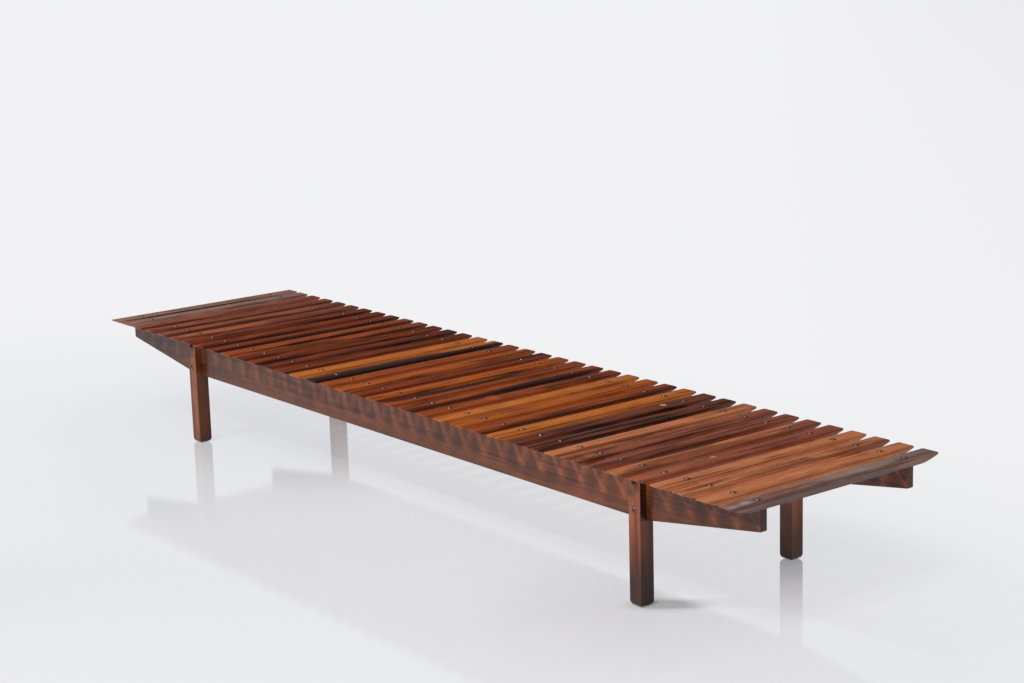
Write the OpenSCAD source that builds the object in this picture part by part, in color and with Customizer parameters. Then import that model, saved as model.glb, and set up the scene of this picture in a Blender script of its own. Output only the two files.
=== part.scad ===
// Low slatted bench in varnished hardwood. Cross slats with tapered tips are screwed down on
// two side rails, and each rail is let into the notched tops of two square legs.
// X runs along the bench, Y across it and Z up. The origin is on the floor, midway between
// the four legs. The front is at -Y and the left end, with the first slat, at -X.

/* [Seat] */
// Height of the seat above the floor
seat_h = 330; // [290:1:460]
// Number of slats along the bench
slat_count = 38; // [20:1:40]
// Length of a slat, from tip to tip across the bench
slat_l = 650; // [520:1:800]
// Width of a slat
slat_w = 48.5; // [36:0.5:60]
// Thickness of a slat
slat_t = 16; // [12:0.5:22]
// Gap between two slats
slat_gap = 24.3; // [14:0.1:36]
// How much closer the first slat is to the second one
first_slat_in = 9.7; // [0:0.1:12]
// Radius along the long edges of a slat
slat_edge_r = 2; // [1:0.25:4]
// Radius of the corners of a slat's tips, seen from above
tip_corner_r = 4; // [2:0.5:10]
// Length over which the underside of a slat tapers to its tip
taper_l = 58; // [30:1:76]
// Thickness of a slat at its tip
tip_t = 3; // [2:0.25:6]

/* [Rails] */
// Thickness of a side rail
rail_t = 20; // [18:0.5:30]
// Height of a side rail between its legs
rail_h = 107; // [80:1:130]
// Height of a side rail at its ends
rail_end_h = 51.5; // [35:0.5:75]
// How far a rail stops short of the outermost slat edge
rail_in = 5; // [0:0.5:15]
// How far the slats reach past the outer face of a rail
slat_reach = 81.3; // [78:0.1:120]
// Chamfer along the edges of a rail
rail_ease = 1.5; // [0.5:0.25:3]

/* [Legs] */
// Width of a leg along the bench
leg_w = 40; // [32:1:60]
// Thickness of the cheek that a leg has outside the rail
cheek_t = 20; // [14:0.5:30]
// From a rail's end to the middle of the leg
leg_in = 381; // [120:1:450]
// Chamfer along the standing edges of a leg
leg_ease = 1.5; // [0.5:0.25:3]
// Chamfer round the bottom of a foot
foot_chamfer = 7; // [3:0.5:10]

/* [Screws] */
// Diameter of the head of a slat screw
slat_screw_head_d = 11.3; // [9:0.1:14]
// Height of the head of a slat screw
slat_screw_head_h = 2.8; // [2:0.1:4]
// Diameter of the shank of a slat screw
slat_screw_d = 4.8; // [4:0.1:6]
// Depth that a slat screw reaches into the rail
slat_screw_bite = 22; // [14:1:24]
// Diameter of the head of a leg screw
leg_screw_head_d = 13.2; // [11:0.1:18]
// Height of the head of a leg screw
leg_screw_head_h = 4.2; // [3:0.1:5.4]
// Diameter of the shank of a leg screw
leg_screw_d = 6.5; // [5:0.1:8]
// Depth that a leg screw reaches into the rail
leg_screw_bite = 15; // [8:0.5:15]
// From the rail's lower edge up to the lower leg screw
low_screw_up = 16; // [12:0.5:30]
// From the underside of the slats down to the upper leg screw
high_screw_down = 31; // [29:0.5:40]
// Width of the slot in a screw head
screw_slot_w = 1.6; // [1:0.1:2]
// Depth of the slot in a screw head
screw_slot_depth = 1.3; // [0.8:0.1:1.6]
// Space round a screw's shank in its hole
screw_clear = 0.1; // [0.05:0.05:0.3]
// Space left under a screw's point in its hole
screw_point_clear = 1; // [0.5:0.5:2]

/* [Hidden] */
slat_pitch = slat_w + slat_gap;
slat_under_z = seat_h - slat_t;
rail_low_z = slat_under_z - rail_h;
rail_end_z = slat_under_z - rail_end_h;
seat_half = ((slat_count - 1) * slat_pitch + slat_w) / 2;
rail_half = seat_half - rail_in;
leg_x = rail_half - leg_in;
rail_y = slat_l / 2 - slat_reach - rail_t / 2;
leg_depth = cheek_t + rail_t;
cheek_face_y = slat_l / 2 - slat_reach + cheek_t;
// Steps in the curve under a slat's tip, and how strongly it bends away from the flat
taper_steps = 8;
taper_bend = 1.5;
// Turn from the slot of one screw to the next, so that no two slots line up
slot_turn = 137.5;
// Overlap that lets one shape cut another cleanly
cut = 1;
// Sliver that keeps a second outline just outside the first
skin = 0.001;
screw_fn = 48;

// Tones of the slats, one letter a slat from the left end
slat_tones = "ggrmrorumoommmydrouoormooromdopuomorou";
tone_letters = "gromduyp";
tone_colours = ["#6f564b", "#7c3f2a", "#b0622f", "#56271f", "#3f2320", "#4b2b2c", "#d08a35", "#8a4b3c"];
rail_colour = "#6e4a3c";
leg_colour = "#7a4630";
screw_colour = "#6b5f58";

function two_digits(i) = i < 10 ? str("0", i) : str(i);
function slat_name(i) = str("slat_", two_digits(i));
function slat_x(i) = (i - (slat_count + 1) / 2) * slat_pitch + (i == 1 ? first_slat_in : 0);
function tone_of(i) = tone_colours[search(slat_tones[(i - 1) % len(slat_tones)], tone_letters)[0]];
function leg_screw_heights() = [rail_low_z + low_screw_up, slat_under_z - high_screw_down];

// Puts what is modelled for the back, at +Y, on either side: -1 is the front and 1 the back
module on_side(side) {
    mirror([0, side < 0 ? 1 : 0, 0]) children();
}

// Rectangle round the origin with round corners, made of squares and circles
module rounded_rect(w, h, r) {
    square([w - 2 * r, h], center = true);
    square([w, h - 2 * r], center = true);
    for (x = [-1, 1], y = [-1, 1])
        translate([x * (w / 2 - r), y * (h / 2 - r)]) circle(r, $fn = 32);
}

// Rectangle round the origin with its corners cut off
module chamfered_rect(w, h, c) {
    polygon([
        [c - w / 2, -h / 2], [w / 2 - c, -h / 2], [w / 2, c - h / 2], [w / 2, h / 2 - c],
        [w / 2 - c, h / 2], [c - w / 2, h / 2], [-w / 2, h / 2 - c], [-w / 2, c - h / 2]
    ]);
}

// Side view of a slat: flat on top, and curving up to a thin tip at both ends
module slat_side() {
    curve = [for (s = [0:taper_steps])
        [slat_l / 2 - taper_l * (1 - s / taper_steps),
         (slat_t - tip_t) * pow(s / taper_steps, taper_bend)]];
    right = concat(curve, [[slat_l / 2, slat_t]]);
    left = [for (k = [len(right) - 1:-1:0]) [-right[k][0], right[k][1]]];
    polygon(concat(right, left));
}

// Hole for a screw's shank, from its mouth at the origin down to its end
module screw_hole(d, depth) {
    translate([0, 0, -depth]) cylinder(d = d + 2 * screw_clear, h = depth + cut, $fn = screw_fn);
}

// Screw with a slotted dome head, the underside of its head at the origin
module screw(head_d, head_h, d, l, turn) {
    dome_r = (head_d * head_d / 4 + head_h * head_h) / (2 * head_h);
    union() {
        difference() {
            intersection() {
                translate([0, 0, head_h - dome_r]) sphere(dome_r, $fn = 2 * screw_fn);
                cylinder(d = head_d + cut, h = head_h + cut, $fn = screw_fn);
            }
            rotate([0, 0, turn])
                translate([-head_d, -screw_slot_w / 2, head_h - screw_slot_depth])
                    cube([2 * head_d, screw_slot_w, screw_slot_depth + cut]);
        }
        translate([0, 0, -l]) cylinder(d = d, h = l, $fn = screw_fn);
    }
}

// One slat: its cross-section, side view and plan, each cut through the others
module slat(i) {
    color(tone_of(i))
        translate([slat_x(i), 0, slat_under_z])
            difference() {
                intersection() {
                    translate([0, slat_l / 2 + cut, slat_t / 2])
                        rotate([90, 0, 0])
                            linear_extrude(slat_l + 2 * cut)
                                rounded_rect(slat_w, slat_t, slat_edge_r);
                    translate([-slat_w / 2 - cut, 0, 0])
                        rotate([90, 0, 90])
                            linear_extrude(slat_w + 2 * cut) slat_side();
                    translate([0, 0, -cut])
                        linear_extrude(slat_t + 2 * cut)
                            rounded_rect(slat_w + 2 * skin, slat_l + 2 * skin, tip_corner_r);
                }
                for (side = [-1, 1])
                    translate([0, side * rail_y, slat_t])
                        screw_hole(slat_screw_d, slat_t + cut);
            }
}

// Outline of a rail seen from the side, with its lower edge rising outside the legs
module rail_side() {
    bend_x = leg_x + leg_w / 2;
    polygon([
        [-rail_half, slat_under_z], [-rail_half, rail_end_z], [-bend_x, rail_low_z],
        [bend_x, rail_low_z], [rail_half, rail_end_z], [rail_half, slat_under_z]
    ]);
}

// Solid made of a rail's outline, thick along Y
module rail_plate(thickness) {
    rotate([90, 0, 0]) translate([0, 0, -thickness / 2]) linear_extrude(thickness) children();
}

// Rail on one side of the bench
module rail(side) {
    color(rail_colour)
        on_side(side)
            translate([0, rail_y, 0])
                difference() {
                    hull() {
                        rail_plate(rail_t - 2 * rail_ease) rail_side();
                        rail_plate(rail_t) offset(delta = -rail_ease) rail_side();
                    }
                    for (i = [1:slat_count])
                        translate([slat_x(i), 0, slat_under_z])
                            screw_hole(slat_screw_d, slat_screw_bite + screw_point_clear);
                    for (end = [-1, 1], z = leg_screw_heights())
                        translate([end * leg_x, rail_t / 2, z])
                            rotate([-90, 0, 0])
                                screw_hole(leg_screw_d, leg_screw_bite + screw_point_clear);
                }
}

// Leg at one end and side of the bench, with a notch that leaves a cheek outside the rail
module leg(end, side) {
    color(leg_colour)
        on_side(side)
            translate([end * leg_x, cheek_face_y - leg_depth / 2, 0])
                difference() {
                    intersection() {
                        linear_extrude(slat_under_z)
                            chamfered_rect(leg_w, leg_depth, leg_ease);
                        translate([0, leg_depth, slat_under_z])
                            rotate([90, 0, 0])
                                linear_extrude(2 * leg_depth)
                                    chamfered_rect(leg_w + 2 * skin, 2 * slat_under_z, foot_chamfer);
                        translate([-leg_w, 0, slat_under_z])
                            rotate([90, 0, 90])
                                linear_extrude(2 * leg_w)
                                    chamfered_rect(leg_depth + 2 * skin, 2 * slat_under_z, foot_chamfer);
                    }
                    translate([-leg_w, -leg_depth, rail_low_z])
                        cube([2 * leg_w, leg_depth / 2 + rail_t, rail_h + cut]);
                    for (z = leg_screw_heights())
                        translate([0, leg_depth / 2, z])
                            rotate([-90, 0, 0]) screw_hole(leg_screw_d, cheek_t + cut);
                }
}

// Screws that hold the slats on one rail
module slat_screws(side) {
    color(screw_colour)
        for (i = [1:slat_count])
            translate([slat_x(i), side * rail_y, seat_h])
                screw(slat_screw_head_d, slat_screw_head_h, slat_screw_d,
                      slat_t + slat_screw_bite, slot_turn * (2 * i + side));
}

// Screws that hold the two legs of one side to their rail
module leg_screws(side) {
    heights = leg_screw_heights();
    color(screw_colour)
        on_side(side)
            for (end = [-1, 1], k = [0, 1])
                translate([end * leg_x, cheek_face_y, heights[k]])
                    rotate([-90, 0, 0])
                        screw(leg_screw_head_d, leg_screw_head_h, leg_screw_d,
                              cheek_t + leg_screw_bite, slot_turn * (k + end + side));
}

for (i = [1:slat_count])
    slat(i);
rail(-1);  // front_rail
rail(1);  // back_rail
leg(-1, -1);  // front_left_leg
leg(1, -1);  // front_right_leg
leg(-1, 1);  // back_left_leg
leg(1, 1);  // back_right_leg
slat_screws(-1);  // front_slat_screws
slat_screws(1);  // back_slat_screws
leg_screws(-1);  // front_leg_screws
leg_screws(1);  // back_leg_screws
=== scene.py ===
import math

import bmesh
import bpy
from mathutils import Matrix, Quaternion, Vector


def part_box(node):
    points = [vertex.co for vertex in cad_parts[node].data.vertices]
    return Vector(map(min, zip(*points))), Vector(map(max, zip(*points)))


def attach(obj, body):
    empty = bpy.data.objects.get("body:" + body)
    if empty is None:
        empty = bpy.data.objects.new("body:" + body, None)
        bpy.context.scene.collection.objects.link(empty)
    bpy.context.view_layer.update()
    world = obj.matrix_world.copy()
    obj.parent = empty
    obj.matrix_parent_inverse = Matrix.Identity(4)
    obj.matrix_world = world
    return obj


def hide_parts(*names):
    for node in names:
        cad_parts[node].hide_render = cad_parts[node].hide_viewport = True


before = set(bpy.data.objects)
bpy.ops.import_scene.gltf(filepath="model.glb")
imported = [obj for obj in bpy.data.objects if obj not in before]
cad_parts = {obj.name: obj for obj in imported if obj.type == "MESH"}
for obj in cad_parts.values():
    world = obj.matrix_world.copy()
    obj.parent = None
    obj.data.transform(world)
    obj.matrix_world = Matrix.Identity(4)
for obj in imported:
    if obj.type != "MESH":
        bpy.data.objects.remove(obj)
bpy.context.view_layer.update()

bl_info = {
    "name": "Slatted bench",
    "version": (1, 0, 0),
    "blender": (4, 5, 0),
    "location": "View3D > Sidebar > Bench",
    "description": "Makes a low rosewood bench of cross slats on two rails and four notched legs",
    "category": "Add Mesh",
}

SLAT_COUNT = sum(1 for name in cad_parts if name.startswith("slat_"))
SIDES = {"front": -1, "back": 1}
ENDS = {"left": -1, "right": 1}
# The shade on the floor beside a foot: how far its middle is from the leg's, its turn in
# degrees, half its length and width, and what is left of the floor's own glow in it
FOOT_SHADE = {"front_right_leg": ((0.036, 0.044), 50, (0.12, 0.055), 0.36)}
# How strongly the floor mirrors each leg at its foot, and how far off the mirror image fades
FOOT_MIRROR = {
    "front_left_leg": (0.2, 0.9), "front_right_leg": (0.12, 0.45),
    "back_left_leg": (0.6, 0.95), "back_right_leg": (0.58, 0.4),
}
# Half the width of the floor
FLOOR_HALF = 60.0
# Each lamp's place, its size and its power in watts
LAMPS = {
    "high_front_right": ((3.6, -5.6, 9.0), (3.6, 2.8), 760),
    "near_front_left": ((-0.7, -2.3, 2.42), (0.2, 0.18), 58),
}
# How bright the surround is as a light, in soft gloss, and where it is seen or mirrored
SURROUND_LIGHT, SURROUND_GLOSS, SURROUND_SEEN = 0.25, 0.06, 0.95
# Painted light and shade on the right side of a board: how much lighter or darker it is
# than its other sides
SIDE_PAINTED_LIGHT = {
    "slat": 1.4, "rail": 1.0, "front_left_leg": 0.5, "front_right_leg": 0.62,
    "back_left_leg": 2.7, "back_right_leg": 2.7,
}

# Rosewood tones, each the light wood and the dark figure in it
TONES = {
    "grey_brown": ("#9b7160", "#6b5048"),
    "pink_brown": ("#8e4c35", "#5c2e20"),
    "tan_orange": ("#ba7149", "#82472d"),
    "golden": ("#b8672a", "#88481e"),
    "orange": ("#a7521c", "#6c3011"),
    "red_orange": ("#92441a", "#58260e"),
    "maroon": ("#7a3212", "#421c0c"),
    "black_brown": ("#6c3624", "#2f1811"),
}
# Each slat's tone from the left end, how much of it the dark figure covers, and how much
# darker its right side is than its left
SLATS = (
    ("grey_brown", 0.25, 0.0), ("grey_brown", 0.15, 0.8), ("pink_brown", 0.2, 1.2),
    ("pink_brown", 0.5, 1.4), ("pink_brown", 0.4, 1.2), ("pink_brown", 0.35, 1.1),
    ("maroon", 0.3, 1.0), ("maroon", 0.4, 1.0), ("maroon", 0.45, 1.0),
    ("red_orange", 0.4, 1.0), ("red_orange", 0.5, 0.6), ("maroon", 0.4, 0.2),
    ("maroon", 0.65, 0.6), ("maroon", 0.5, 0.0), ("golden", 0.25, -0.6),
    ("black_brown", 0.8, 1.2), ("red_orange", 0.15, -0.8), ("orange", 0.5, 0.8),
    ("maroon", 0.45, -1.0), ("orange", 0.4, 0.5), ("red_orange", 0.45, -0.8),
    ("red_orange", 0.35, 0.6), ("red_orange", 0.4, 0.5), ("golden", 0.3, 0.4),
    ("orange", 0.25, 0.3), ("red_orange", 0.55, 0.6), ("golden", 0.35, 0.3),
    ("black_brown", 0.3, 0.5), ("black_brown", 0.5, 0.5), ("tan_orange", 0.2, 0.5),
    ("pink_brown", 0.55, 0.4), ("pink_brown", 0.6, 0.2), ("tan_orange", 0.95, 0.5),
    ("pink_brown", 0.0, 0.3), ("tan_orange", 0.25, 0.0), ("tan_orange", 0.5, 0.3),
    ("tan_orange", 0.2, 0.0), ("grey_brown", 0.75, 0.0),
)
# Dark and light streaks, knots, worn spots, a painted shade and a painted sheen: where each
# is on the seat, how far it reaches across and along its slat, its colour and its strength
MARKS = (
    # A painted shade: a dark line along the gap between the first two slats
    (-1.3125, 0.000, 0.0055, 0.330, "#33211b", 0.9),
    (-0.985, -0.170, 0.022, 0.150, "#ad5d38", 0.8),
    (-0.985, 0.100, 0.022, 0.100, "#6b3420", 0.6),
    (-0.840, 0.140, 0.014, 0.060, "#8c4318", 0.6),
    (-0.845, -0.130, 0.016, 0.070, "#88411a", 0.7),
    (-0.820, -0.270, 0.024, 0.060, "#4c2012", 0.6),
    (-0.665, 0.080, 0.012, 0.070, "#2c140c", 0.7),
    (-0.665, -0.085, 0.012, 0.050, "#2c140c", 0.7),
    (-0.450, 0.120, 0.009, 0.040, "#2c140c", 0.8),
    (-0.278, 0.270, 0.026, 0.210, "#b4692a", 1.0),
    (-0.240, 0.000, 0.022, 0.350, "#2c1610", 0.7),
    (-0.150, 0.020, 0.008, 0.060, "#38190f", 0.7),
    (-0.150, 0.095, 0.006, 0.030, "#38190f", 0.7),
    (0.094, -0.110, 0.023, 0.260, "#2e150e", 0.95),
    (0.200, 0.130, 0.021, 0.240, "#2e1710", 0.95),
    (0.247, -0.092, 0.030, 0.020, "#a8511f", 0.9),
    (0.240, -0.250, 0.030, 0.090, "#6f2f12", 0.5),
    (0.610, 0.170, 0.010, 0.010, "#c4b2a2", 0.9),
    (0.835, -0.262, 0.016, 0.022, "#9a6a3c", 0.5),
    (0.975, 0.125, 0.022, 0.060, "#a45c3a", 0.7),
    (1.050, -0.250, 0.022, 0.110, "#a45c3a", 0.6),
    (1.043, -0.072, 0.006, 0.011, "#c89272", 0.8),
    (1.030, -0.110, 0.006, 0.013, "#c89272", 0.8),
    (1.197, 0.105, 0.020, 0.035, "#ac6f4a", 0.8),
    (1.203, 0.070, 0.018, 0.020, "#7c4830", 0.6),
    (1.345, -0.270, 0.010, 0.016, "#a79a92", 0.6),
    (1.352, -0.312, 0.008, 0.010, "#a79a92", 0.6),
    (1.347, -0.170, 0.026, 0.090, "#644038", 0.6),
    # A painted sheen: a grey reflection along the last slat
    (1.338, 0.120, 0.020, 0.230, "#8c7d77", 0.6),
)


def linear(hex_colour):
    """Linear RGBA of an sRGB hex colour."""
    parts = [int(hex_colour[k:k + 2], 16) / 255 for k in (1, 3, 5)]
    return [c / 12.92 if c <= 0.04045 else ((c + 0.055) / 1.055) ** 2.4 for c in parts] + [1.0]


def add(tree, kind, inputs=None, **settings):
    """Adds a node with its settings, and sets or links each of its inputs."""
    node = tree.nodes.new(kind)
    for name, value in settings.items():
        setattr(node, name, value)
    for key, value in (inputs or {}).items():
        if isinstance(value, bpy.types.Node):
            value = value.outputs[0]
        if isinstance(value, bpy.types.NodeSocket):
            tree.links.new(value, node.inputs[key])
        else:
            node.inputs[key].default_value = value
    return node


def new_material(name):
    """An empty material and its node tree."""
    material = bpy.data.materials.new(name)
    material.use_nodes = True
    material.node_tree.nodes.clear()
    return material, material.node_tree


def new_piece(name, mesh, nodes):
    """Makes a mesh into a piece of the bench that stands for CAD nodes."""
    piece = bpy.data.objects.new(name, mesh)
    bpy.context.scene.collection.objects.link(piece)
    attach(piece, "root")
    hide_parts(*nodes)
    return piece


def mark_board(mesh, light, dark, dark_share, dark_side, side_painted_light, seed):
    """Writes on a board's mesh the colours, the shares and the seed of its wood, and the
    painted light and shade on its right side.
    """
    for name, colour in (("wood_light", light), ("wood_dark", dark)):
        layer = mesh.attributes.new(name, "FLOAT_COLOR", "POINT")
        layer.data.foreach_set("color", list(linear(colour)) * len(mesh.vertices))
    for name, value in (("dark_share", dark_share), ("dark_side", dark_side),
                        ("side_painted_light", side_painted_light), ("board_seed", seed)):
        layer = mesh.attributes.new(name, "FLOAT", "POINT")
        layer.data.foreach_set("value", [value] * len(mesh.vertices))


class BenchWood(bpy.types.PropertyGroup):
    band: bpy.props.FloatVectorProperty(
        name="Dark band", description="Usual width and length of a dark band in the figure",
        size=2, default=(0.017, 0.55), unit="LENGTH")
    patch: bpy.props.FloatVectorProperty(
        name="Patch", description="Usual width and length of a patch of darker figure",
        size=2, default=(0.035, 0.2), unit="LENGTH")
    streak: bpy.props.FloatVectorProperty(
        name="Streak", description="Usual width and length of a streak between the bands",
        size=2, default=(0.006, 0.16), unit="LENGTH")
    line: bpy.props.FloatVectorProperty(
        name="Line", description="Usual width and length of a fine line of the grain",
        size=2, default=(0.0018, 0.12), unit="LENGTH")
    cloud: bpy.props.FloatVectorProperty(
        name="Cloud", description="Usual width and length of a cloudy patch",
        size=2, default=(0.03, 0.09), unit="LENGTH")
    pore: bpy.props.FloatVectorProperty(
        name="Pore", description="Width and length of an open pore, drawn coarse enough to show",
        size=2, default=(0.0005, 0.009), unit="LENGTH")
    drift: bpy.props.FloatVectorProperty(
        name="Drift", description="How wide and how long a bend of the grain is",
        size=2, default=(0.09, 0.45), unit="LENGTH")
    meander: bpy.props.FloatProperty(
        name="Meander", description="How far the grain wanders sideways",
        default=0.012, unit="LENGTH")


class BenchSlats(bpy.types.PropertyGroup):
    tip_thickness: bpy.props.FloatProperty(
        name="Tip thickness", description="Thickness of a slat at its tip",
        default=0.003, unit="LENGTH")
    taper_length: bpy.props.FloatProperty(
        name="Taper length", description="Length over which the underside tapers to the tip",
        default=0.058, unit="LENGTH")
    taper_bend: bpy.props.FloatProperty(
        name="Taper bend", description="How strongly the taper curves away from the flat",
        default=1.5)
    edge_radius: bpy.props.FloatProperty(
        name="Edge radius", description="Radius along the long edges of a slat",
        default=0.0013, unit="LENGTH")
    corner_radius: bpy.props.FloatProperty(
        name="Corner radius", description="Radius of a tip's corners, seen from above",
        default=0.004, unit="LENGTH")


class BenchFrame(bpy.types.PropertyGroup):
    rail_end_height: bpy.props.FloatProperty(
        name="Rail end height", description="Height of a rail at its ends",
        default=0.0515, unit="LENGTH")
    rail_light: bpy.props.StringProperty(
        name="Rail wood", description="Colour of the rails' light wood", default="#7e4428")
    rail_dark: bpy.props.StringProperty(
        name="Rail figure", description="Colour of the rails' dark figure", default="#633421")
    left_leg_light: bpy.props.StringProperty(
        name="Left leg wood", description="Colour of the left legs' light wood",
        default="#753c1d")
    left_leg_dark: bpy.props.StringProperty(
        name="Left leg figure", description="Colour of the left legs' dark figure",
        default="#572b16")
    right_leg_light: bpy.props.StringProperty(
        name="Right leg wood", description="Colour of the right legs' light wood",
        default="#8b4b2e")
    right_leg_dark: bpy.props.StringProperty(
        name="Right leg figure", description="Colour of the right legs' dark figure",
        default="#6a3320")
    edge_radius: bpy.props.FloatProperty(
        name="Edge radius", description="Radius along the edges of rails and legs",
        default=0.0015, unit="LENGTH")
    foot_radius: bpy.props.FloatProperty(
        name="Foot radius", description="Radius round the bottom of a foot",
        default=0.012, unit="LENGTH")


class BenchScrews(bpy.types.PropertyGroup):
    slat_head: bpy.props.FloatVectorProperty(
        name="Slat screw head", description="Diameter and height of a slat screw's head",
        size=2, default=(0.0113, 0.0028), unit="LENGTH")
    leg_head: bpy.props.FloatVectorProperty(
        name="Leg screw head", description="Diameter and height of a leg screw's head",
        size=2, default=(0.0155, 0.0042), unit="LENGTH")
    low_leg_screw: bpy.props.FloatProperty(
        name="Lower leg screw", description="Height above the rail's lower edge",
        default=0.025, unit="LENGTH")
    high_leg_screw: bpy.props.FloatProperty(
        name="Upper leg screw", description="Depth below the rail's upper edge",
        default=0.020, unit="LENGTH")
    slot: bpy.props.FloatVectorProperty(
        name="Slot", description="Width and depth of the slot in a head",
        size=2, default=(0.0016, 0.0013), unit="LENGTH")


class BenchStage(bpy.types.PropertyGroup):
    floor_colour: bpy.props.StringProperty(
        name="Floor", description="Colour of the floor", default="#bfc2c7")
    camera_place: bpy.props.FloatVectorProperty(
        name="Camera", description="Where the camera stands",
        size=3, default=(4.4185, -3.3070, 1.6583), unit="LENGTH", subtype="XYZ")
    camera_azimuth: bpy.props.FloatProperty(
        name="Azimuth", description="Compass turn of the view from -X towards +Y",
        default=math.radians(38.232), subtype="ANGLE")
    camera_drop: bpy.props.FloatProperty(
        name="Drop", description="How far the view points below the horizon",
        default=math.radians(12.649), subtype="ANGLE")
    camera_roll: bpy.props.FloatProperty(
        name="Roll", description="Turn of the camera about its own view",
        default=math.radians(1.611), subtype="ANGLE")
    camera_lens: bpy.props.FloatProperty(
        name="Lens", description="Focal length on a sensor 36 mm wide, in millimetres",
        default=74.26)


SETTINGS = {
    "bench_wood": BenchWood,
    "bench_slats": BenchSlats,
    "bench_frame": BenchFrame,
    "bench_screws": BenchScrews,
    "bench_stage": BenchStage,
}


def grain_patterns(tree, where, along, wood):
    """The place on the wandering grain, and the noises that make up a board's pattern. Each
    board takes them from a place of its own."""
    seed = add(tree, "ShaderNodeAttribute", attribute_name="board_seed").outputs["Fac"]
    seeds = add(tree, "ShaderNodeVectorMath", {0: (17.3, 5.1, 29.7), "Scale": seed},
                operation="SCALE")

    def stretched(vector, size, detail):
        """Noise of features that wide across the grain and that long along it."""
        width, length = size
        scale = [1 / width] * 3
        scale[along] = 1 / length
        mapped = add(tree, "ShaderNodeMapping", {"Vector": vector, "Scale": scale})
        moved = add(tree, "ShaderNodeVectorMath", {0: mapped, 1: seeds}, operation="ADD")
        return add(tree, "ShaderNodeTexNoise",
                   {"Vector": moved, "Scale": 1.0, "Detail": detail, "Roughness": 0.55})

    drift = stretched(where, wood.drift, 1.0)
    centred = add(tree, "ShaderNodeVectorMath",
                  {0: drift.outputs["Color"], 1: (0.5, 0.5, 0.5)}, operation="SUBTRACT")
    sideways = [wood.meander] * 3
    sideways[along] = 0.0
    wander = add(tree, "ShaderNodeVectorMath", {0: centred, 1: sideways}, operation="MULTIPLY")
    grain = add(tree, "ShaderNodeVectorMath", {0: where, 1: wander}, operation="ADD")
    return grain, {
        "bands": stretched(grain, wood.band, 1.0),
        "patches": stretched(grain, wood.patch, 2.0),
        "streaks": stretched(grain, wood.streak, 2.0),
        "lines": stretched(grain, wood.line, 2.0),
        "clouds": stretched(where, wood.cloud, 3.0),
        "pores": stretched(grain, wood.pore, 1.0),
    }


def dark_figure(tree, patterns, across):
    """How much of the dark figure shows, and how the streaks fray it. The figure is made of
    bands with soft edges that come and go."""
    share, side = (
        add(tree, "ShaderNodeAttribute", attribute_name=label).outputs["Fac"]
        for label in ("dark_share", "dark_side"))
    coming, fraying, leaning = 0.7, 0.4, 0.13
    come = add(tree, "ShaderNodeMath",
               {0: patterns["patches"], 1: coming, 2: -coming / 2}, operation="MULTIPLY_ADD")
    fray = add(tree, "ShaderNodeMath",
               {0: patterns["streaks"], 1: fraying, 2: -fraying / 2}, operation="MULTIPLY_ADD")
    figure = add(tree, "ShaderNodeMath", {0: patterns["bands"], 1: come}, operation="ADD")
    figure = add(tree, "ShaderNodeMath", {0: figure, 1: fray}, operation="ADD")
    lean = add(tree, "ShaderNodeMath", {0: side, 1: across}, operation="MULTIPLY")
    figure = add(tree, "ShaderNodeMath", {0: lean, 1: leaning, 2: figure},
                 operation="MULTIPLY_ADD")
    # Where the figure starts on a board with none of it and on one full of it
    start_none, start_full, softness = 0.63, 0.21, 0.26
    low = add(tree, "ShaderNodeMath", {0: share, 1: start_full - start_none, 2: start_none},
              operation="MULTIPLY_ADD")
    high = add(tree, "ShaderNodeMath", {0: low, 1: softness}, operation="ADD")
    shown = add(tree, "ShaderNodeMapRange", {"Value": figure, 1: low, 2: high},
                interpolation_type="SMOOTHSTEP")
    return shown, fray


def marked_wood(tree, base, grain, fray, marks):
    """The wood's colour with its marks, each a soft oval that the streaks fray."""
    full_inside, none_outside, raggedness = 0.6, 1.1, 2.0
    for x, y, reach_across, reach_along, mark_colour, strength in marks:
        away = add(tree, "ShaderNodeVectorMath", {0: grain, 1: (x, y, 0.0)},
                   operation="SUBTRACT")
        away = add(tree, "ShaderNodeVectorMath",
                   {0: away, 1: (1 / reach_across, 1 / reach_along, 0.0)}, operation="MULTIPLY")
        away = add(tree, "ShaderNodeVectorMath", {0: away}, operation="LENGTH")
        ragged = add(tree, "ShaderNodeMath",
                     {0: fray, 1: raggedness, 2: away.outputs["Value"]},
                     operation="MULTIPLY_ADD")
        inside = add(tree, "ShaderNodeMapRange", {
            "Value": ragged, 1: none_outside, 2: full_inside, 3: 0.0, 4: strength},
            interpolation_type="SMOOTHSTEP")
        base = add(tree, "ShaderNodeMix", {0: inside, 6: base.outputs[2],
                                           7: linear(mark_colour)}, data_type="RGBA")
    return base


def ring_shaded_wood(tree, base, spot, across, half_width, screw_y):
    """The wood's colour with a painted shade in a ring round each screw head. half_width is half
    a slat's width, and screw_y is how far its screws are from the middle of the seat."""
    inner, outer, strength = 0.0070, 0.0100, 0.85
    beside = add(tree, "ShaderNodeMath", {0: across, 1: half_width}, operation="MULTIPLY")
    ahead = add(tree, "ShaderNodeMath", {0: spot["Y"]}, operation="ABSOLUTE")
    ahead = add(tree, "ShaderNodeMath", {0: ahead, 1: screw_y}, operation="SUBTRACT")
    away = add(tree, "ShaderNodeCombineXYZ", {"X": beside, "Y": ahead})
    away = add(tree, "ShaderNodeVectorMath", {0: away}, operation="LENGTH")
    ring = add(tree, "ShaderNodeMapRange", {
        "Value": away.outputs["Value"], 1: inner, 2: outer, 3: strength, 4: 0.0})
    return add(tree, "ShaderNodeMix", {0: ring, 6: base.outputs[2], 7: linear("#24120c")},
               data_type="RGBA")


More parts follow.
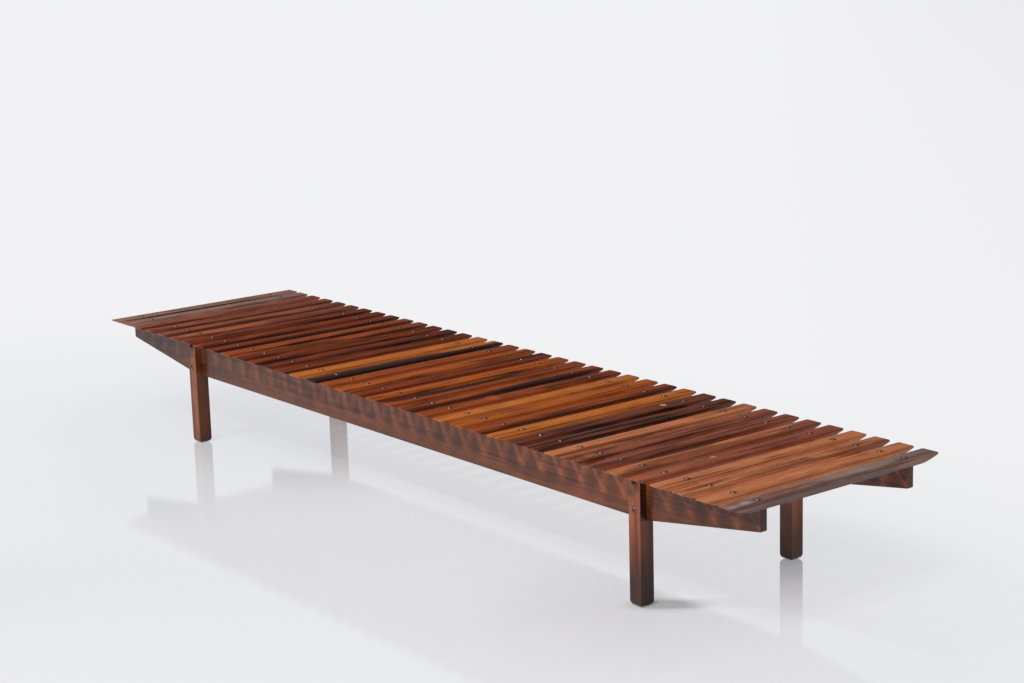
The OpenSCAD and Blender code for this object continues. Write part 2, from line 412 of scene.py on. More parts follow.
def notch_shade(tree, spot, shoulder, left_shade, right_shade):
    """What is left of the light on a leg's right side: all of it below the shoulder, and above
    it, where the slats shade the notch beside the rail, a share for each end of the bench."""
    left_x, right_x, softness = -0.5, 0.5, 0.0005
    in_notch = add(tree, "ShaderNodeMapRange", {
        "Value": spot["X"], 1: left_x, 2: right_x, 3: left_shade, 4: right_shade})
    return add(tree, "ShaderNodeMapRange", {
        "Value": spot["Z"], 1: shoulder - softness, 2: shoulder + softness, 3: 1.0,
        4: in_notch})


def shaded_wood(tree, base, factors):
    """The wood's colour times each factor. A factor is a value, two of its levels, and how
    light or dark the wood is at each."""
    shade = 1.0
    for value, levels, values in factors:
        part = add(tree, "ShaderNodeMapRange",
                   {"Value": value, 1: levels[0], 2: levels[1], 3: values[0], 4: values[1]})
        shade = add(tree, "ShaderNodeMath", {0: shade, 1: part}, operation="MULTIPLY")
    return add(tree, "ShaderNodeVectorMath", {0: base.outputs[2], "Scale": shade},
               operation="SCALE")


def rosewood(name, along, wood, end_shade=1.0, marks=(), screws=None, notch=None,
             shades=()):
    """Rosewood under clear varnish, planed along the grain: dark bands that wander, come and
    go, fine lines between them, open pores, and a clear gloss on top. Its right side gets painted
    light and shade of its own, a slat's top a painted shade towards its right edge, and its end
    grain a shade of its own. screws is half the width of a slat and how far its screws are from
    the middle of the seat. notch is a height above which a right side is in the shade, and what
    is left of its light at the left and at the right end. Each of shades is a direction, two
    places along it, and how light or dark the wood is there."""
    material, tree = new_material(name)
    where = add(tree, "ShaderNodeTexCoord").outputs["Object"]
    spot = add(tree, "ShaderNodeSeparateXYZ", {0: where}).outputs
    light, dark = (
        add(tree, "ShaderNodeAttribute", attribute_name=label).outputs["Color"]
        for label in ("wood_light", "wood_dark"))
    side_painted_light, across = (
        add(tree, "ShaderNodeAttribute", attribute_name=label).outputs["Fac"]
        for label in ("side_painted_light", "across"))

    grain, patterns = grain_patterns(tree, where, along, wood)
    dark_part, fray = dark_figure(tree, patterns, across)
    base = add(tree, "ShaderNodeMix", {0: dark_part, 6: light, 7: dark}, data_type="RGBA")
    base = marked_wood(tree, base, grain, fray, marks)
    if screws:
        base = ring_shaded_wood(tree, base, spot, across, *screws)

    if notch:
        side_painted_light = add(tree, "ShaderNodeMath",
                         {0: side_painted_light, 1: notch_shade(tree, spot, *notch)},
                         operation="MULTIPLY")
    facing = add(tree, "ShaderNodeSeparateXYZ",
                 {0: add(tree, "ShaderNodeNewGeometry").outputs["Normal"]}).outputs
    end_facing = add(tree, "ShaderNodeMath", {0: facing[along]}, operation="ABSOLUTE")
    # The patterns, painted light and shade on the right side, the end grain, and a painted
    # shade on a slat's top towards its right edge
    factors = [
        (patterns["streaks"], (0.3, 0.7), (1.08, 0.92)),
        (patterns["lines"], (0.3, 0.7), (1.04, 0.96)),
        (patterns["clouds"], (0.3, 0.7), (0.84, 1.18)),
        (patterns["pores"], (0.56, 0.7), (1.0, 0.75)),
        (facing["X"], (0.6, 0.95), (1.0, side_painted_light)),
        (end_facing, (0.6, 0.95), (1.0, end_shade)),
        (across, (0.35, 1.0), (1.0, 0.66)),
    ]
    for direction, places, values in shades:
        place = add(tree, "ShaderNodeVectorMath", {0: where, 1: direction},
                    operation="DOT_PRODUCT").outputs["Value"]
        factors.append((place, places, values))
    colour = shaded_wood(tree, base, factors)

    rough = add(tree, "ShaderNodeMapRange",
                {"Value": patterns["streaks"], 1: 0.3, 2: 0.7, 3: 0.3, 4: 0.22})
    relief = add(tree, "ShaderNodeMath", {0: patterns["lines"], 1: patterns["pores"]},
                 operation="SUBTRACT")
    bump = add(tree, "ShaderNodeBump", {"Strength": 0.12, "Distance": 0.0003, "Height": relief})
    shader = add(tree, "ShaderNodeBsdfPrincipled", {
        "Base Color": colour, "Roughness": rough, "Normal": bump, "IOR": 1.4,
    })
    add(tree, "ShaderNodeOutputMaterial", {"Surface": shader})
    return material


def bronzed_steel(name, dull, bright):
    """Steel screws darkened to bronze: brown metal, polished on the dome by the driver."""
    material, tree = new_material(name)
    where = add(tree, "ShaderNodeTexCoord").outputs["Object"]
    patch_size = 0.0025
    patches = add(tree, "ShaderNodeTexNoise", {
        "Vector": where, "Scale": 1 / patch_size, "Detail": 2.0})
    colour = add(tree, "ShaderNodeMix", {
        0: patches, 6: linear(dull), 7: linear(bright)}, data_type="RGBA")
    rough = add(tree, "ShaderNodeMapRange", {"Value": patches, 3: 0.5, 4: 0.4})
    shader = add(tree, "ShaderNodeBsdfPrincipled", {
        "Base Color": colour.outputs[2], "Metallic": 1.0, "Roughness": rough})
    add(tree, "ShaderNodeOutputMaterial", {"Surface": shader})
    return material


def new_geometry_tree(name, sockets):
    """A geometry node tree that takes these inputs after its geometry."""
    tree = bpy.data.node_groups.new(name, "GeometryNodeTree")
    tree.is_modifier = True
    tree.interface.new_socket("Geometry", in_out="INPUT", socket_type="NodeSocketGeometry")
    for label, kind in sockets.items():
        tree.interface.new_socket(label, in_out="INPUT", socket_type=kind)
    tree.interface.new_socket("Geometry", in_out="OUTPUT", socket_type="NodeSocketGeometry")
    return tree, add(tree, "NodeGroupInput").outputs


def run_geometry_tree(tree, base_mesh, values):
    """The plain mesh that a tree makes of a base mesh with these input values."""
    carrier = bpy.data.objects.new(tree.name, base_mesh)
    bpy.context.scene.collection.objects.link(carrier)
    modifier = carrier.modifiers.new(tree.name, "NODES")
    modifier.node_group = tree
    for socket in tree.interface.items_tree:
        if socket.in_out == "INPUT" and socket.name in values:
            modifier[socket.identifier] = values[socket.name]
    evaluated = carrier.evaluated_get(bpy.context.evaluated_depsgraph_get())
    mesh = bpy.data.meshes.new_from_object(evaluated)
    bpy.data.objects.remove(carrier)
    return mesh


def slat_bar(tree, given, half_l):
    """A bar along Y with rounded long edges, whose points crowd together towards both tips."""
    points_along, points_round_an_edge = 61, 5
    line = add(tree, "GeometryNodeCurvePrimitiveLine", {"Start": (0, -1, 0), "End": (0, 1, 0)})
    line = add(tree, "GeometryNodeResampleCurve", {"Curve": line, "Count": points_along})
    at = add(tree, "ShaderNodeSeparateXYZ", {0: add(tree, "GeometryNodeInputPosition")})
    quarter = add(tree, "ShaderNodeMath", {0: at.outputs["Y"], 1: math.pi / 2},
                  operation="MULTIPLY")
    crowd = add(tree, "ShaderNodeMath", {0: quarter}, operation="SINE")
    along = add(tree, "ShaderNodeMath", {0: crowd, 1: half_l}, operation="MULTIPLY")
    spread = add(tree, "ShaderNodeCombineXYZ", {"Y": along})
    line = add(tree, "GeometryNodeSetPosition", {"Geometry": line, "Position": spread})
    line = add(tree, "GeometryNodeSetCurveNormal", {"Curve": line}, mode="Z_UP")
    profile = add(tree, "GeometryNodeCurvePrimitiveQuadrilateral",
                  {"Width": given["Width"], "Height": given["Thickness"]})
    profile = add(tree, "GeometryNodeFilletCurve", {
        "Curve": profile, "Count": points_round_an_edge, "Radius": given["Edge radius"]},
        mode="POLY")
    return add(tree, "GeometryNodeCurveToMesh",
               {"Curve": line, "Profile Curve": profile, "Fill Caps": True})


def tapered_height(tree, given, height, tip_gap, half_t):
    """How high a point of the bar is once the underside has risen towards the tip."""
    part = add(tree, "ShaderNodeMapRange",
               {"Value": tip_gap, 1: given["Taper length"], 2: 0.0})
    bent = add(tree, "ShaderNodeMath", {0: part, 1: given["Taper bend"]}, operation="POWER")
    left = add(tree, "ShaderNodeMapRange",
               {"Value": bent, 3: given["Thickness"], 4: given["Tip thickness"]})
    ratio = add(tree, "ShaderNodeMath", {0: left, 1: given["Thickness"]}, operation="DIVIDE")
    below = add(tree, "ShaderNodeMath", {0: half_t, 1: height}, operation="SUBTRACT")
    sunk = add(tree, "ShaderNodeMath", {0: below, 1: ratio}, operation="MULTIPLY")
    return add(tree, "ShaderNodeMath", {0: half_t, 1: sunk}, operation="SUBTRACT")


def rounded_half_width(tree, radius, tip_gap, half_w):
    """Half the width that a tip's rounded corners leave of the bar."""
    near = add(tree, "ShaderNodeMath", {0: tip_gap, 1: radius}, operation="MINIMUM")
    reach = add(tree, "ShaderNodeMath", {0: radius, 1: near}, operation="SUBTRACT")
    reach_2 = add(tree, "ShaderNodeMath", {0: reach, 1: 2.0}, operation="POWER")
    radius_2 = add(tree, "ShaderNodeMath", {0: radius, 1: 2.0}, operation="POWER")
    rest = add(tree, "ShaderNodeMath", {0: radius_2, 1: reach_2}, operation="SUBTRACT")
    arc = add(tree, "ShaderNodeMath", {0: rest}, operation="SQRT")
    drawn_in = add(tree, "ShaderNodeMath", {0: radius, 1: arc}, operation="SUBTRACT")
    return add(tree, "ShaderNodeMath", {0: half_w, 1: drawn_in}, operation="SUBTRACT")


def slat_tree(material):
    """One slat: a rounded bar along Y whose underside tapers up to a thin tip at both ends."""
    tree, given = new_geometry_tree("slat_shape", {
        "Place": "NodeSocketVector", "Length": "NodeSocketFloat", "Width": "NodeSocketFloat",
        "Thickness": "NodeSocketFloat", "Tip thickness": "NodeSocketFloat",
        "Taper length": "NodeSocketFloat", "Taper bend": "NodeSocketFloat",
        "Edge radius": "NodeSocketFloat", "Corner radius": "NodeSocketFloat",
    })
    half_l, half_w, half_t = (
        add(tree, "ShaderNodeMath", {0: given[size], 1: 0.5}, operation="MULTIPLY")
        for size in ("Length", "Width", "Thickness"))
    bar = slat_bar(tree, given, half_l)

    # Each point is moved by how far it is from its tip
    at = add(tree, "ShaderNodeSeparateXYZ", {0: add(tree, "GeometryNodeInputPosition")}).outputs
    out = add(tree, "ShaderNodeMath", {0: at["Y"]}, operation="ABSOLUTE")
    tip_gap = add(tree, "ShaderNodeMath", {0: half_l, 1: out}, operation="SUBTRACT")
    height = tapered_height(tree, given, at["Z"], tip_gap, half_t)
    width_left = rounded_half_width(tree, given["Corner radius"], tip_gap, half_w)
    across = add(tree, "ShaderNodeMath", {0: at["X"], 1: half_w}, operation="DIVIDE")
    side = add(tree, "ShaderNodeMath", {0: across, 1: width_left}, operation="MULTIPLY")
    bar = add(tree, "GeometryNodeStoreNamedAttribute",
              {"Geometry": bar, "Name": "across", "Value": across}, data_type="FLOAT")
    shaped = add(tree, "ShaderNodeCombineXYZ", {"X": side, "Y": at["Y"], "Z": height})
    placed = add(tree, "ShaderNodeVectorMath", {0: shaped, 1: given["Place"]}, operation="ADD")
    bar = add(tree, "GeometryNodeSetPosition", {"Geometry": bar, "Position": placed})

    # The flat faces stay flat in the light, and only the rounded edges are smooth
    normal = add(tree, "ShaderNodeVectorMath", {0: add(tree, "GeometryNodeInputNormal")},
                 operation="ABSOLUTE")
    facing = add(tree, "ShaderNodeSeparateXYZ", {0: normal})
    most = add(tree, "ShaderNodeMath",
               {0: facing.outputs["X"], 1: facing.outputs["Z"]}, operation="MAXIMUM")
    rounded = add(tree, "FunctionNodeCompare", {0: most, 1: 0.9999}, operation="LESS_THAN")
    bar = add(tree, "GeometryNodeSetShadeSmooth",
              {"Geometry": bar, "Selection": rounded, "Shade Smooth": True})
    bar = add(tree, "GeometryNodeRealizeInstances", {"Geometry": bar})
    bar = add(tree, "GeometryNodeSetMaterial", {"Geometry": bar, "Material": material})
    add(tree, "NodeGroupOutput", {"Geometry": bar})
    return tree


class BENCH_OT_slats(bpy.types.Operator):
    """Make the slats of the seat, each from its own board."""
    bl_idname = "bench.slats"
    bl_label = "Slats"

    def execute(self, context):
        sizes = context.scene.bench_slats
        low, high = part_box("slat_01")
        rail_low, rail_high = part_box("back_rail")
        screws = ((high.x - low.x) / 2, (rail_low.y + rail_high.y) / 2)
        # Painted light: a slat's sides and underside are made lighter than its top, fully so from
        # this far below it
        lit_from, lit_fully = 0.0020, 0.0045
        lit_sides_below_top = ((0, 0, 1), (high.z - lit_fully, high.z - lit_from), (1.6, 1.0))
        tree = slat_tree(rosewood("rosewood_slat", 1, context.scene.bench_wood,
                                  end_shade=0.85, marks=MARKS, screws=screws,
                                  shades=(lit_sides_below_top,)))
        for number, (tone, share, dark_side) in enumerate(SLATS[:SLAT_COUNT], 1):
            node = f"slat_{number:02d}"
            low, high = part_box(node)
            mesh = run_geometry_tree(tree, bpy.data.meshes.new("empty"), {
                "Place": (low + high) / 2, "Length": high.y - low.y, "Width": high.x - low.x,
                "Thickness": high.z - low.z, "Tip thickness": sizes.tip_thickness,
                "Taper length": sizes.taper_length, "Taper bend": sizes.taper_bend,
                "Edge radius": sizes.edge_radius, "Corner radius": sizes.corner_radius,
            })
            mark_board(mesh, *TONES[tone], dark_share=share, dark_side=dark_side,
                       side_painted_light=SIDE_PAINTED_LIGHT["slat"], seed=float(number))
            new_piece(f"slat_board_{number:02d}", mesh, [node])
        return {"FINISHED"}


def rounded_prism(name, outline, axis, low, high, edge_radius, big_radius=None, is_big=None):
    """A prism of an outline between two places on an axis, its edges rounded.
    Edges whose middle passes the test is_big get the bigger radius."""
    shape = bmesh.new()
    rings = []
    for place in (low, high):
        ring = []
        for a, b in outline:
            spot = [a, b]
            spot.insert(axis, place)
            ring.append(shape.verts.new(spot))
        rings.append(ring)
    shape.faces.new(rings[0])
    shape.faces.new(rings[1][::-1])
    for k in range(len(outline)):
        nxt = (k + 1) % len(outline)
        shape.faces.new((rings[0][nxt], rings[0][k], rings[1][k], rings[1][nxt]))
    bmesh.ops.recalc_face_normals(shape, faces=shape.faces)
    weight = shape.edges.layers.float.new("bevel_weight_edge")
    for edge in shape.edges:
        middle = (edge.verts[0].co + edge.verts[1].co) / 2
        edge[weight] = 1.0 if big_radius and is_big(middle) else edge_radius / (
            big_radius or edge_radius)
    block = bpy.data.meshes.new(name)
    shape.to_mesh(block)
    shape.free()
    carrier = bpy.data.objects.new(name, block)
    bpy.context.scene.collection.objects.link(carrier)
    rounding = carrier.modifiers.new("rounding", "BEVEL")
    rounding.limit_method = "WEIGHT"
    rounding.width = big_radius or edge_radius
    rounding.segments = 4
    rounding.harden_normals = True
    evaluated = carrier.evaluated_get(bpy.context.evaluated_depsgraph_get())
    mesh = bpy.data.meshes.new_from_object(evaluated)
    bpy.data.objects.remove(carrier)
    return mesh


class BENCH_OT_rails(bpy.types.Operator):
    """Make the two side rails, whose ends taper from below."""
    bl_idname = "bench.rails"
    bl_label = "Rails"

    def execute(self, context):
        style = context.scene.bench_frame
        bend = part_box("front_right_leg")[1].x
        # Painted light and shade on the rails: darker at both ends, lighter from the middle
        # towards the right, and a painted shade along the lower edge
        material = rosewood("rosewood_rail", 0, context.scene.bench_wood, end_shade=0.42,
                            shades=(((1, 0, 0), (-1.2, -0.7), (0.5, 1.0)),
                                    ((1, 0, 0), (0.3, 0.75), (1.0, 1.5)),
                                    ((1, 0, 0), (0.95, 1.15), (1.0, 0.6)),
                                    ((0, 0, 1), (0.215, 0.26), (0.66, 1.0))))
        for side in SIDES:
            node = f"{side}_rail"
            low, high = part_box(node)
            end_z = high.z - style.rail_end_height
            outline = [(low.x, high.z), (low.x, end_z), (-bend, low.z),
                       (bend, low.z), (high.x, end_z), (high.x, high.z)]
            mesh = rounded_prism(node, outline, 1, low.y, high.y, style.edge_radius)
            mesh.materials.append(material)
            mark_board(mesh, style.rail_light, style.rail_dark, dark_share=0.4, dark_side=0.0,
                       side_painted_light=SIDE_PAINTED_LIGHT["rail"], seed=50.0 + SIDES[side])
            new_piece(f"{side}_rail_board", mesh, [node])
        return {"FINISHED"}


class BENCH_OT_legs(bpy.types.Operator):
    """Make the four legs, notched at the top so that a cheek stands outside the rail."""
    bl_idname = "bench.legs"
    bl_label = "Legs"

    def execute(self, context):
        style = context.scene.bench_frame
        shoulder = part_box("front_rail")[0].z
        # A painted shade darkens the right legs towards the floor, and all legs are darker at the
        # very foot
        material = rosewood("rosewood_leg", 2, context.scene.bench_wood,
                            notch=(shoulder, 1.5, 0.25),
                            shades=(((-0.1, 0, 1), (-0.04, 0.15), (0.25, 1.4)),
                                    ((0, 0, 1), (0.003, 0.016), (0.45, 1.0))))
        for side, way in SIDES.items():
            rail_low, rail_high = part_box(f"{side}_rail")
            face = rail_high.y if way > 0 else rail_low.y
            for end in ENDS:
                node = f"{side}_{end}_leg"
                low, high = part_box(node)
                outer, inner = (high.y, low.y) if way > 0 else (low.y, high.y)
                outline = [(outer, low.z), (outer, high.z), (face, high.z),
                           (face, shoulder), (inner, shoulder), (inner, low.z)]
                mesh = rounded_prism(node, outline, 0, low.x, high.x, style.edge_radius,
                                     style.foot_radius, lambda middle: middle.z < 0.0001)
                mesh.materials.append(material)
                mark_board(mesh, getattr(style, f"{end}_leg_light"),
                           getattr(style, f"{end}_leg_dark"), dark_share=0.4, dark_side=0.0,
                           side_painted_light=SIDE_PAINTED_LIGHT[node], seed=60.0 + 2 * way + ENDS[end])
                new_piece(f"{side}_{end}_leg_post", mesh, [node])
        return {"FINISHED"}


def dome_head(tree, given):
    """A screw head. The top of a disc becomes a dome, part of a ball of the radius that fits
    the head."""
    radius = add(tree, "ShaderNodeMath", {0: given["Diameter"], 1: 0.5}, operation="MULTIPLY")
    disc = add(tree, "GeometryNodeMeshCylinder", {
        "Vertices": 32, "Side Segments": 1, "Fill Segments": 6, "Radius": radius,
        "Depth": given["Height"]})
    at = add(tree, "ShaderNodeSeparateXYZ", {0: add(tree, "GeometryNodeInputPosition")})
    radius_2 = add(tree, "ShaderNodeMath", {0: radius, 1: 2.0}, operation="POWER")
    height_2 = add(tree, "ShaderNodeMath", {0: given["Height"], 1: 2.0}, operation="POWER")
    total = add(tree, "ShaderNodeMath", {0: radius_2, 1: height_2}, operation="ADD")
    twice = add(tree, "ShaderNodeMath", {0: given["Height"], 1: 2.0}, operation="MULTIPLY")
    ball = add(tree, "ShaderNodeMath", {0: total, 1: twice}, operation="DIVIDE")
    ball_2 = add(tree, "ShaderNodeMath", {0: ball, 1: 2.0}, operation="POWER")
    x_2 = add(tree, "ShaderNodeMath", {0: at.outputs["X"], 1: 2.0}, operation="POWER")
    y_2 = add(tree, "ShaderNodeMath", {0: at.outputs["Y"], 1: 2.0}, operation="POWER")
    out_2 = add(tree, "ShaderNodeMath", {0: x_2, 1: y_2}, operation="ADD")
    under = add(tree, "ShaderNodeMath", {0: ball_2, 1: out_2}, operation="SUBTRACT")
    dome = add(tree, "ShaderNodeMath", {0: under}, operation="SQRT")
    sink = add(tree, "ShaderNodeMath", {0: given["Height"], 1: ball}, operation="SUBTRACT")
    top = add(tree, "ShaderNodeMath", {0: dome, 1: sink}, operation="ADD")
    is_top = add(tree, "ShaderNodeMath", {0: at.outputs["Z"], 1: 0.0}, operation="GREATER_THAN")
    height = add(tree, "ShaderNodeMath", {0: top, 1: is_top}, operation="MULTIPLY")
    lifted = add(tree, "ShaderNodeCombineXYZ",
                 {"X": at.outputs["X"], "Y": at.outputs["Y"], "Z": height})
    head = add(tree, "GeometryNodeSetPosition", {"Geometry": disc, "Position": lifted})
    return add(tree, "GeometryNodeSetShadeSmooth", {"Geometry": head, "Shade Smooth": True})


def slotted(tree, given, head):
    """A head with the slot for the driver cut across its dome."""
    long = add(tree, "ShaderNodeMath", {0: given["Diameter"], 1: 2.0}, operation="MULTIPLY")
    deep = add(tree, "ShaderNodeMath", {0: given["Slot depth"], 1: 2.0}, operation="MULTIPLY")
    size = add(tree, "ShaderNodeCombineXYZ", {"X": long, "Y": given["Slot width"], "Z": deep})
    cutter = add(tree, "GeometryNodeMeshCube", {"Size": size})
    up = add(tree, "ShaderNodeCombineXYZ", {"Z": given["Height"]})
    cutter = add(tree, "GeometryNodeTransform", {"Geometry": cutter, "Translation": up})
    return add(tree, "GeometryNodeMeshBoolean", {0: head, 1: cutter}, operation="DIFFERENCE",
               solver="EXACT")


def screw_tree(material):
    """A slotted dome head on each point of a mesh, turned about its axis at random."""
    tree, given = new_geometry_tree("slotted_screw_heads", {
        "Diameter": "NodeSocketFloat", "Height": "NodeSocketFloat",
        "Slot width": "NodeSocketFloat", "Slot depth": "NodeSocketFloat",
        "Facing": "NodeSocketVector", "Seed": "NodeSocketInt",
    })
    head = slotted(tree, given, dome_head(tree, given))
    points = add(tree, "GeometryNodeMeshToPoints", {0: given["Geometry"]})
    spin = add(tree, "FunctionNodeRandomValue", {
        "Max": (0.0, 0.0, math.tau), "Seed": given["Seed"]}, data_type="FLOAT_VECTOR")
    turned = add(tree, "FunctionNodeAlignRotationToVector", {"Vector": given["Facing"]},
                 axis="Z")
    heads = add(tree, "GeometryNodeInstanceOnPoints",
                {"Points": points, "Instance": head, "Rotation": turned})
    heads = add(tree, "GeometryNodeRotateInstances", {"Instances": heads, "Rotation": spin})
    heads = add(tree, "GeometryNodeRealizeInstances", {"Geometry": heads})
    heads = add(tree, "GeometryNodeSetMaterial", {"Geometry": heads, "Material": material})
    add(tree, "NodeGroupOutput", {"Geometry": heads})
    return tree


class BENCH_OT_screws(bpy.types.Operator):
    """Make the slotted heads of the screws that hold the slats and the legs."""
    bl_idname = "bench.screws"
    bl_label = "Screws"

    def execute(self, context):
        sizes = context.scene.bench_screws
        # The seat's and the legs' screws are lit and shaded copies of one bronzed steel: painted
        # light on the heads in the seat, painted shade on those in the legs
        seat_heads = screw_tree(bronzed_steel("bronzed_steel", "#8f7d73", "#bdaca0"))
        leg_heads = screw_tree(bronzed_steel("shaded_bronzed_steel", "#574840", "#7f6f64"))
        slot_width, slot_depth = sizes.slot
        seat_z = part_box("slat_01")[1].z
        rail_foot, rail_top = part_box("front_rail")
        jobs = []
        for side, way in SIDES.items():
            low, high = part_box(f"{side}_rail")
            middles = []
            for number in range(1, SLAT_COUNT + 1):
                slat_low, slat_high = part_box(f"slat_{number:02d}")
                middles.append(((slat_low.x + slat_high.x) / 2, (low.y + high.y) / 2, seat_z))
            jobs.append((f"{side}_slat_screws", middles, sizes.slat_head, (0, 0, 1), seat_heads))
            places = []
            for end in ENDS:
                leg_low, leg_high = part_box(f"{side}_{end}_leg")
                face = leg_high.y if way > 0 else leg_low.y
                for z in (rail_foot.z + sizes.low_leg_screw, rail_top.z - sizes.high_leg_screw):
                    places.append(((leg_low.x + leg_high.x) / 2, face, z))
            jobs.append((f"{side}_leg_screws", places, sizes.leg_head, (0, way, 0), leg_heads))
        for seed, (node, points, (diameter, height), facing, tree) in enumerate(jobs):
            base = bpy.data.meshes.new(node)
            base.from_pydata(points, [], [])
            mesh = run_geometry_tree(tree, base, {
                "Diameter": diameter, "Height": height, "Slot width": slot_width,
                "Slot depth": slot_depth, "Facing": Vector(facing), "Seed": seed,
            })
            new_piece(f"{node}_heads", mesh, [node])
        return {"FINISHED"}


def floor_normal(tree, where):
    """The way the floor faces, with a tremor finer than any pixel, which softens the mirror
    image."""
    lean = 0.016
    tremor = add(tree, "ShaderNodeTexWhiteNoise", {"Vector": where}, noise_dimensions="3D")
    tilt = add(tree, "ShaderNodeVectorMath",
               {0: tremor.outputs["Color"], 1: (0.5, 0.5, 0.5)}, operation="SUBTRACT")
    tilt = add(tree, "ShaderNodeVectorMath", {0: tilt, 1: (lean, lean, 0.0)},
               operation="MULTIPLY")
    upright = add(tree, "ShaderNodeVectorMath", {0: tilt, 1: (0.0, 0.0, 1.0)}, operation="ADD")
    return add(tree, "ShaderNodeVectorMath", {0: upright}, operation="NORMALIZE")


def floor_glow(tree, where):
    """The floor's own light, which falls off gently towards the back right and is evened out
    in front, under the near lamp."""
    towards_back_right, lamp_spot = (1.0, 1.0, 0.0), (-0.2, -1.4, 0.0)
    reach = add(tree, "ShaderNodeVectorMath", {0: where, 1: towards_back_right},
                operation="DOT_PRODUCT")
    falloff = add(tree, "ShaderNodeMapRange",
                  {"Value": reach.outputs["Value"], 1: 1.0, 2: 5.0, 3: 1.0, 4: 0.94})
    under_lamp = add(tree, "ShaderNodeVectorMath", {0: where, 1: lamp_spot},
                     operation="DISTANCE")
    even = add(tree, "ShaderNodeMapRange",
               {"Value": under_lamp.outputs["Value"], 1: 0.1, 2: 1.2, 3: 0.9, 4: 1.0})
    falloff = add(tree, "ShaderNodeMath", {0: falloff, 1: even}, operation="MULTIPLY")
    return add(tree, "ShaderNodeEmission", {"Color": linear("#f2f2f5"), "Strength": falloff})


def floor_glow_share(tree, where):
    """How much of the floor's own light is seen: weakest round the bench, where it leaves the
    shadow, and full further out."""
    rays = add(tree, "ShaderNodeLightPath")
    seen = rays.outputs["Is Camera Ray"]
    for kind in ("Is Glossy Ray", "Is Transmission Ray"):
        seen = add(tree, "ShaderNodeMath", {0: seen, 1: rays.outputs[kind]}, operation="MAXIMUM")
    round_bench = add(tree, "ShaderNodeMapping", {
        "Vector": where, "Location": (0.0, 0.45, 0.0), "Scale": (0.55, 1.0, 0.0)})
    distance = add(tree, "ShaderNodeVectorMath", {0: round_bench}, operation="LENGTH")
    far = add(tree, "ShaderNodeMapRange",
              {"Value": distance.outputs["Value"], 1: 0.45, 2: 2.0, 3: 0.64, 4: 1.0},
              interpolation_type="SMOOTHSTEP")
    share = add(tree, "ShaderNodeMath", {0: seen, 1: far}, operation="MULTIPLY")
    # It is weaker still in a long patch beside a foot, where the leg shades the floor
    for node, (aside, turn, size, left_glow) in FOOT_SHADE.items():
        low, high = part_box(node)
        middle = ((low.x + high.x) / 2 + aside[0], (low.y + high.y) / 2 + aside[1], 0.0)
        away = add(tree, "ShaderNodeMapping", {
            "Vector": where, "Location": middle, "Rotation": (0, 0, math.radians(turn)),
            "Scale": (*size, 1.0)}, vector_type="TEXTURE")
        away = add(tree, "ShaderNodeVectorMath", {0: away}, operation="LENGTH")
        part = add(tree, "ShaderNodeMapRange",
                   {"Value": away.outputs["Value"], 1: 0.3, 2: 1.1, 3: left_glow, 4: 1.0},
                   interpolation_type="SMOOTHSTEP")
        share = add(tree, "ShaderNodeMath", {0: share, 1: part}, operation="MULTIPLY")
    return share


def floor_mirror_share(tree, where):
    """How strongly the floor mirrors the legs: most where a foot touches it."""
    mirror = 0.0
    for node, (strength, reach) in FOOT_MIRROR.items():
        low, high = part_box(node)
        foot = ((low.x + high.x) / 2, (low.y + high.y) / 2, 0.0)
        away = add(tree, "ShaderNodeVectorMath", {0: where, 1: foot}, operation="DISTANCE")
        part = add(tree, "ShaderNodeMapRange",
                   {"Value": away.outputs["Value"], 1: 0.0, 2: reach, 3: strength, 4: 0.0})
        mirror = add(tree, "ShaderNodeMath", {0: mirror, 1: part}, operation="MAXIMUM")
    return mirror


def floor_material(stage):
    """Smooth white studio floor with a thin gloss, so that it mirrors the bench faintly.
    The camera sees it partly lit from within, which keeps it near white in the shadows."""
    material, tree = new_material("studio_floor")
    where = add(tree, "ShaderNodeTexCoord").outputs["Object"]
    normal = floor_normal(tree, where)
    lit = add(tree, "ShaderNodeBsdfPrincipled", {
        "Base Color": linear(stage.floor_colour), "Roughness": 0.0, "IOR": 1.9,
        "Normal": normal})
    shader = add(tree, "ShaderNodeMixShader", {
        0: floor_glow_share(tree, where), 1: lit, 2: floor_glow(tree, where)})
    gloss = add(tree, "ShaderNodeBsdfGlossy", {
        "Color": linear("#e1e1e3"), "Roughness": 0.0, "Normal": normal})
    shader = add(tree, "ShaderNodeMixShader", {
        0: floor_mirror_share(tree, where), 1: shader, 2: gloss})
    add(tree, "ShaderNodeOutputMaterial", {"Surface": shader})
    return material


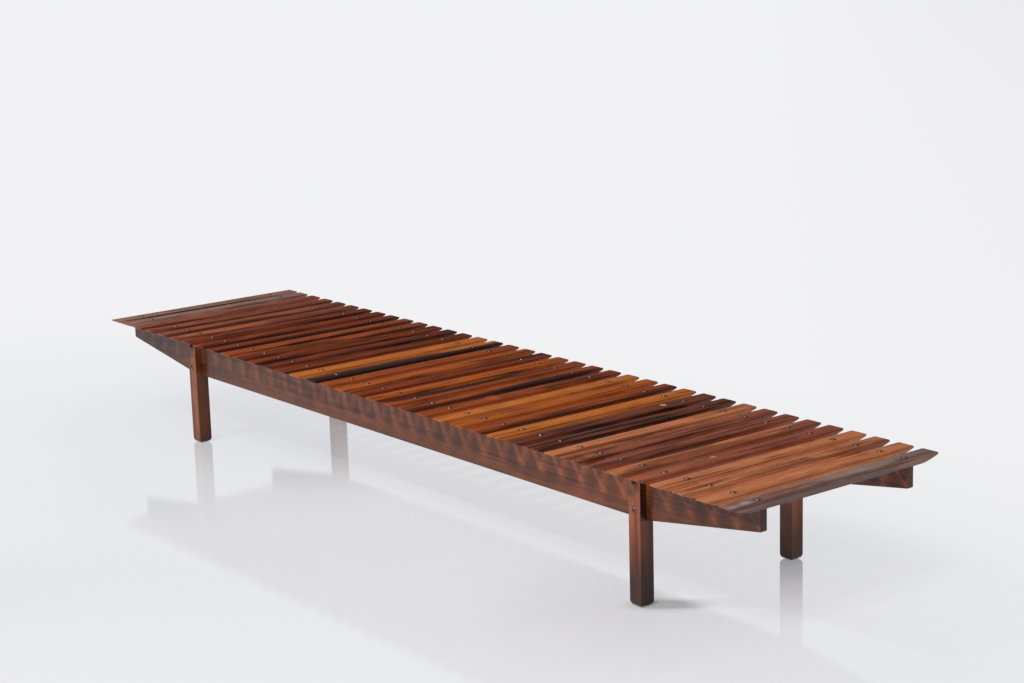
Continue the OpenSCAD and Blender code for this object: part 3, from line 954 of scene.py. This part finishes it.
class BENCH_OT_stage(bpy.types.Operator):
    """Make the floor, the lights, the world and the camera."""
    bl_idname = "bench.stage"
    bl_label = "Stage"

    def execute(self, context):
        scene = context.scene
        stage = scene.bench_stage
        floor_mesh = bpy.data.meshes.new("studio_floor")
        corners = [(x * FLOOR_HALF, y * FLOOR_HALF, 0)
                   for x, y in ((-1, -1), (1, -1), (1, 1), (-1, 1))]
        floor_mesh.from_pydata(corners, [], [(0, 1, 2, 3)])
        floor_mesh.materials.append(floor_material(stage))
        floor = bpy.data.objects.new("studio_floor", floor_mesh)
        scene.collection.objects.link(floor)

        for name, (place, size, power) in LAMPS.items():
            self.add_light(name, place, size, power)

        world = bpy.data.worlds.new("studio_world")
        scene.world = world
        world.use_nodes = True
        tree = world.node_tree
        tree.nodes.clear()
        rays = add(tree, "ShaderNodeLightPath")
        seen = add(tree, "ShaderNodeMath", {0: rays.outputs["Is Camera Ray"],
                                            1: rays.outputs["Is Singular Ray"]},
                   operation="MAXIMUM")
        unseen = add(tree, "ShaderNodeMapRange", {
            "Value": rays.outputs["Is Glossy Ray"], 3: SURROUND_LIGHT, 4: SURROUND_GLOSS})
        level = add(tree, "ShaderNodeMapRange", {"Value": seen, 3: unseen, 4: SURROUND_SEEN})
        glow = add(tree, "ShaderNodeBackground",
                   {"Color": linear("#fafbff"), "Strength": level})
        add(tree, "ShaderNodeOutputWorld", {"Surface": glow})

        lens = bpy.data.cameras.new("camera")
        lens.sensor_width = 36.0
        lens.lens = stage.camera_lens
        lens.clip_end = 200.0
        camera = bpy.data.objects.new("camera", lens)
        scene.collection.objects.link(camera)
        drop, turn = stage.camera_drop, stage.camera_azimuth
        ahead = Vector((-math.cos(drop) * math.cos(turn), math.cos(drop) * math.sin(turn),
                        -math.sin(drop)))
        camera.location = stage.camera_place
        camera.rotation_mode = "QUATERNION"
        level_turn = ahead.to_track_quat("-Z", "Y")
        camera.rotation_quaternion = Quaternion(ahead, stage.camera_roll) @ level_turn
        scene.camera = camera
        scene.view_settings.view_transform = "Standard"
        return {"FINISHED"}

    def add_light(self, name, place, size, power):
        """A rectangular soft light that shines at the middle of the bench."""
        lamp = bpy.data.lights.new(name, "AREA")
        lamp.shape = "RECTANGLE"
        lamp.size, lamp.size_y = size
        lamp.energy = power
        light = bpy.data.objects.new(name, lamp)
        light.location = place
        light.rotation_euler = (Vector((0, 0, 0.2)) - light.location).to_track_quat(
            "-Z", "Y").to_euler()
        bpy.context.scene.collection.objects.link(light)


class BENCH_PT_panel(bpy.types.Panel):
    """Buttons and sizes of the pieces."""
    bl_idname = "BENCH_PT_panel"
    bl_label = "Slatted bench"
    bl_space_type = "VIEW_3D"
    bl_region_type = "UI"
    bl_category = "Bench"

    def draw(self, context):
        for settings, operators in PANEL_ROWS:
            box = self.layout.box()
            for operator in operators:
                box.operator(operator.bl_idname)
            group = getattr(context.scene, settings)
            for name in group.bl_rna.properties.keys():
                if name not in {"rna_type", "name"}:
                    box.prop(group, name)


PANEL_ROWS = (
    ("bench_wood", ()),
    ("bench_slats", (BENCH_OT_slats,)),
    ("bench_frame", (BENCH_OT_rails, BENCH_OT_legs)),
    ("bench_screws", (BENCH_OT_screws,)),
    ("bench_stage", (BENCH_OT_stage,)),
)
CLASSES = (
    BENCH_OT_slats, BENCH_OT_rails, BENCH_OT_legs, BENCH_OT_screws, BENCH_OT_stage,
    BENCH_PT_panel,
)


def register():
    for name, group in SETTINGS.items():
        bpy.utils.register_class(group)
        setattr(bpy.types.Scene, name, bpy.props.PointerProperty(type=group))
    for cls in CLASSES:
        bpy.utils.register_class(cls)


def unregister():
    for cls in reversed(CLASSES):
        bpy.utils.unregister_class(cls)
    for name, group in SETTINGS.items():
        delattr(bpy.types.Scene, name)
        bpy.utils.unregister_class(group)


def main():
    """Makes the whole bench and its stage."""
    register()
    bpy.ops.bench.stage()
    bpy.ops.bench.slats()
    bpy.ops.bench.rails()
    bpy.ops.bench.legs()
    bpy.ops.bench.screws()


if __name__ == "__main__":
    main()
